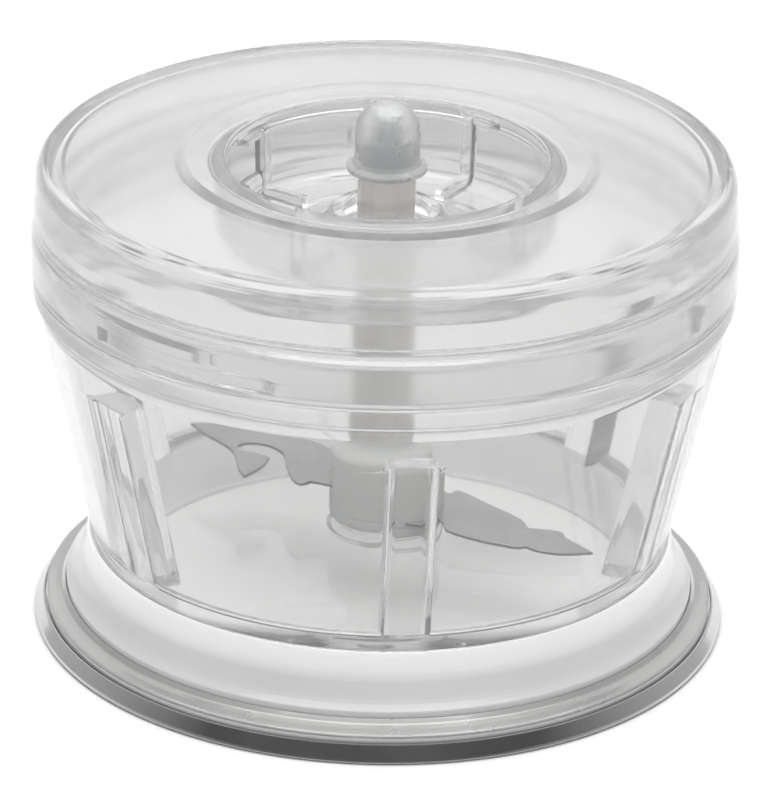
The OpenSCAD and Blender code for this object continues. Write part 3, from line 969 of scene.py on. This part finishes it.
def inset(points, amount):
    """The outline moved inwards by a small amount."""
    n = len(points)
    moved = []
    for i, p in enumerate(points):
        a = (p - points[i - 1]).normalized()
        b = (points[(i + 1) % n] - p).normalized()
        normal = Vector((-(a.y + b.y), a.x + b.x))
        if normal.length < TINY:
            normal = Vector((-a.y, a.x))
        normal.normalize()
        grow = 1 / max(normal.dot(Vector((-a.y, a.x))), 0.5)
        moved.append(p + normal * amount * grow)
    return moved


def blade(name, outline, az, root_z, side, node):
    """One arm: its edge eased above and chamfered below, leaning by a few degrees outside the hub."""
    top = flowing(outline)
    layers = [
        (inset(top, 0.12), BLADE_T),
        (top, BLADE_T - 0.1),
        (top, CHAMFER_TOP),
        (inset(top, CHAMFER_IN), 0.0)]
    verts, faces = [], []
    n = len(top)
    turn = Matrix.Rotation(math.radians(az), 3, "Z")
    for points, z in layers:
        for p in points:
            lean = side * BEND_SLOPE * max(p.x - BEND_START, 0)
            verts.append(turn @ Vector((p.x, p.y, root_z + z + lean)))
    for layer in range(len(layers) - 1):
        for i in range(n):
            j = (i + 1) % n
            a, b = layer * n, (layer + 1) * n
            faces.append((a + j, a + i, b + i, b + j))
    faces.append(tuple(range(n)))
    faces.append(tuple(reversed(range((len(layers) - 1) * n, len(layers) * n))))
    obj = mesh_object(name, verts, faces, "blade_unit", "blade_steel", [node], sharp=25)
    # the two flat faces have many corners, so they are cut into triangles
    work = bmesh.new()
    work.from_mesh(obj.data)
    bmesh.ops.triangulate(work, faces=[f for f in work.faces if len(f.verts) > 4])
    work.to_mesh(obj.data)
    work.free()


def hub_cap():
    """The hub's lower end, rounded underneath."""
    bore_r = bush_high.x + 0.05
    hub_r = hub_high.x
    step_z = hub_low.z - 0.02
    corners = [
        (bore_r, hub_cap_low.z, 0.3),
        (hub_r, hub_cap_low.z, 1.2),
        (hub_r, step_z, 0.2),
        (ring_r, step_z, 0.1),
        (ring_r, hub_cap_high.z, 0.1),
        (bore_r, hub_cap_high.z, 0.1)]
    turned("hub_cap_visual", corners, "blade_unit", "hub_plastic", ["hub_cap"], FINE_COLUMNS)


def blade_hub():
    """The moulding that holds the blades and narrows up to the spindle tube."""
    bore_r = bush_high.x + 0.02
    hub_r = hub_high.x
    tube_r = tube_high.x
    shoulder_z = 34.2
    socket_z = 27.2
    corners = [
        (ring_r, hub_low.z, 0.1),
        (hub_r, hub_low.z, 0.2),
        (hub_r, shoulder_z, 1.6),
        (tube_r + 0.8, shoulder_z + 1.2, 3.4),
        (tube_r + 0.3, hub_high.z, 0.4),
        (tube_r, hub_high.z, 0.1),
        (tube_r, tube_low.z, 0.05),
        (bore_r, tube_low.z, 0.05),
        (bore_r, socket_z, 0.1),
        (ring_r, socket_z, 0.1)]
    turned("blade_hub_visual", corners, "blade_unit", "hub_plastic", ["blade_hub"], FINE_COLUMNS)


def spindle_tube():
    """The round tube from the hub up to the sleeve, with the shaft's narrower hole at its top."""
    bush_r = bush_high.x
    tube_r = tube_high.x
    shaft_r = 3.0
    corners = [
        (bush_r, tube_low.z, 0.1),
        (tube_r, tube_low.z, 0.1),
        (tube_r, tube_high.z, 0.5),
        (shaft_r, tube_high.z, 0.1),
        (shaft_r, shaft_low.z, 0.1),
        (bush_r, shaft_low.z, 0.1)]
    turned("spindle_tube_visual", corners, "blade_unit", "spindle_steel", ["spindle_tube"], FINE_COLUMNS)


def spindle_sleeve():
    """The octagonal sleeve, with its long edges and its ends eased."""
    across_flats = 10.5
    bore_r = 3.05
    corner_r = across_flats / 2 / math.cos(math.pi / 8)
    low, high = sleeve_low.z, sleeve_high.z
    # two points close together at each of the eight corners
    ease = math.radians(2.6)
    angles = [math.pi / 8 + math.pi / 4 * k + e for k in range(8) for e in (-ease, ease)]

    def row(r, z):
        return [(r * math.cos(a), r * math.sin(a), z) for a in angles]

    rows = [
        row(bore_r, low),
        row(corner_r - 0.5, low),
        row(corner_r - 0.05, low + 0.4),
        row(corner_r - 0.05, high - 0.3),
        row(corner_r - 0.35, high),
        row(bore_r, high)]
    stacked("spindle_sleeve_visual", rows, "blade_unit", "spindle_steel", ["spindle_sleeve"],
            closed_path=True, sharp=15)


def drive_cap():
    """The milky dome with its flange, hollow for the shaft's head."""
    low, top = cap_low.z, cap_high.z
    dome_r = 6.0
    dome_z = 96.2
    flange_r = cap_high.x
    head_r = 3.55
    head_z = 95.05
    tip_r = 2.25
    tip_z = 99.05
    corners = [
        (0, tip_z, 0),
        (tip_r, tip_z, 0.3),
        (tip_r, head_z, 0.1),
        (head_r, head_z, 0.2),
        (head_r, low, 0.2),
        (flange_r, low, 0.4),
        (flange_r, low + 0.95, 0.4),
        (dome_r + 0.4, low + 1.45, 0.5),
        (dome_r, low + 2.2, 0.5),
        *arc(0, dome_z, dome_r, top - dome_z, (6, 16, 26, 36, 46, 56, 66, 76, 84), 0.4),
        (0, top, 0)]
    turned("drive_cap_visual", corners, "blade_unit", "cap_nylon", ["drive_cap"], FINE_COLUMNS)


# ---- The pieces ----

CLEAR = [bowl(), lid(), lid_seal()]
base_dish()
trim_ring()
foot_ring()
hub_cap()
blade_hub()
blade("upper_blade_visual", UPPER_ARM, blade_az, upper_blade_z, 1, "upper_blade")
blade("lower_blade_visual", LOWER_ARM, blade_az + 180, lower_blade_z, -1, "lower_blade")
spindle_tube()
spindle_sleeve()
drive_cap()
# clear pieces cast no shadow, because real clear plastic lets the room's light through
for clear in CLEAR:
    clear.visible_shadow = False
keep_node("pivot_pin", "pin_steel")
keep_node("pivot_sleeve", "nylon")
keep_node("hub_bush", "nylon")
keep_node("blade_spacer", "nylon")
keep_node("drive_shaft", "shaft_steel")


# ---- Floor, light and camera ----

def floor():
    """A plain pale sheet under the object."""
    half = 6
    corners = [(-half, -half, 0), (half, -half, 0), (half, half, 0), (-half, half, 0)]
    mesh = bpy.data.meshes.new("floor")
    mesh.from_pydata(corners, [], [(0, 1, 2, 3)])
    obj = bpy.data.objects.new("floor", mesh)
    bpy.context.scene.collection.objects.link(obj)
    n = Nodes("floor_paper").set(Roughness=0.9, Specular_IOR_Level=0.0)
    n.colour(n.ramp(n.noise(scale=3, detail=2), grey(0.93), grey(0.95)))
    mesh.materials.append(n.material)


LIGHT_AIM = Vector((0, 0, 0.05))      # metres: the softboxes face the object's middle


def softbox(name, place, size, power):
    """A rectangular light, placed and sized in metres, with its power in watts."""
    data = bpy.data.lights.new(name, "AREA")
    data.shape = "RECTANGLE"
    data.size, data.size_y = size
    data.energy = power
    obj = bpy.data.objects.new(name, data)
    obj.location = place
    obj.rotation_euler = (LIGHT_AIM - Vector(place)).to_track_quat("-Z", "Y").to_euler()
    bpy.context.scene.collection.objects.link(obj)


def lights():
    """Two softboxes in a pale room that is a little darker to the sides and in front."""
    softbox("top_softbox", place=(0, -0.1, 1.15), size=(1.25, 1.35), power=11)
    softbox("back_softbox", place=(0, 1.5, 1.2), size=(2.4, 1.2), power=3)
    world = bpy.data.worlds.new("studio")
    bpy.context.scene.world = world
    world.use_nodes = True
    tree = world.node_tree

    def math_node(operation, *values):
        node = tree.nodes.new("ShaderNodeMath")
        node.operation = operation
        for value, socket in zip(values, node.inputs):
            tree.links.new(value, socket)
        return node.outputs["Value"]

    def map_range(value, low, high, start, end):
        node = tree.nodes.new("ShaderNodeMapRange")
        for key, number in (("From Min", start), ("From Max", end), ("To Min", low), ("To Max", high)):
            node.inputs[key].default_value = number
        tree.links.new(value, node.inputs["Value"])
        return node.outputs["Result"]

    split = tree.nodes.new("ShaderNodeSeparateXYZ")
    tree.links.new(tree.nodes.new("ShaderNodeTexCoord").outputs["Generated"], split.inputs["Vector"])
    walls = map_range(split.outputs["Z"], 0.66, 0.70, start=0.0, end=0.8)
    front = map_range(split.outputs["Y"], 0.94, 1.0, start=-0.5, end=0.3)
    side = map_range(math_node("ABSOLUTE", split.outputs["X"]), 1.0, 0.72, start=0.4, end=0.95)
    room = math_node("MULTIPLY", math_node("MULTIPLY", walls, front), side)
    tree.links.new(room, tree.nodes["Background"].inputs["Color"])
    tree.nodes["Background"].inputs["Strength"].default_value = 1.0


def camera():
    """The photograph's view: slightly down from the front with a long lens, and rolled a little."""
    pitch = math.radians(24.23)
    roll = math.radians(1.24)
    place = Vector((0.72, -933.4, 462.6)) * MM
    data = bpy.data.cameras.new("camera")
    data.lens = 247.5
    data.sensor_width = 36
    data.clip_start = 0.05
    data.clip_end = 50
    obj = bpy.data.objects.new("camera", data)
    look = Matrix.Rotation(math.pi / 2 - pitch, 4, "X")
    lean = Matrix.Rotation(roll, 4, "Z")
    obj.matrix_world = Matrix.Translation(place) @ look @ lean
    bpy.context.scene.collection.objects.link(obj)
    bpy.context.scene.camera = obj


floor()
lights()
camera()
scene = bpy.context.scene
scene.view_settings.view_transform = "Standard"
scene.cycles.max_bounces = 56
scene.cycles.transmission_bounces = 48
scene.cycles.glossy_bounces = 8
scene.cycles.caustics_reflective = False
scene.cycles.caustics_refractive = True

bpy.context.view_layer.update()
